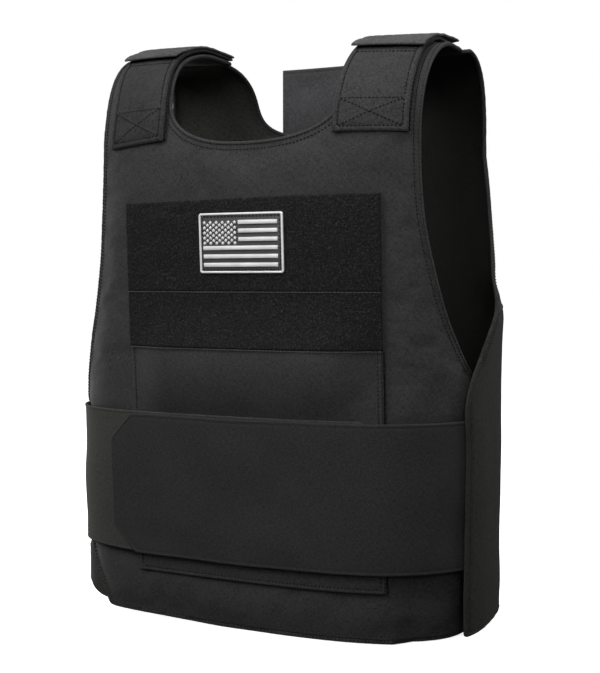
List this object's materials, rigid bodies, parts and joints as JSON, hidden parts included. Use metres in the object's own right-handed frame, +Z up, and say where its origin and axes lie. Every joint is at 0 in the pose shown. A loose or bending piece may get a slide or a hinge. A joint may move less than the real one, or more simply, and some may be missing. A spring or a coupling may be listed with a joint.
{
  "type": "soft tactical vest",
  "caption": "Padded fabric vest with wrap-around waist bands, shoulder straps, a front pocket with loop fields and a raised flag patch, standing on its hem.",
  "frame": {"origin": "on the surface the hem stands on, under the middle of the vest's extents", "axes": "+Z up, -Y the way the front faces, +X to the wearer's left"},
  "size_m": [0.3925, 0.2469, 0.5347],
  "materials": {
    "cloth": "charcoal woven polyester, matt",
    "loop": "black fuzzy hook-and-loop pile",
    "band": "black woven band, matt",
    "rubber": "moulded soft rubber in grey and white"
  },
  "bodies": {
    "root": {"front_panel": "cloth", "back_panel": "cloth", "front_pocket": "cloth", "loop_field_upper": "loop", "loop_field_lower": "loop", "flag_patch": "rubber", "waist_band_outer": "band", "waist_band_under": "band", "shoulder_strap_left": "cloth", "shoulder_strap_right": "cloth", "shoulder_flap_left": "loop", "shoulder_flap_right": "loop", "neck_flap": "cloth"}
  },
  "joints": []
}
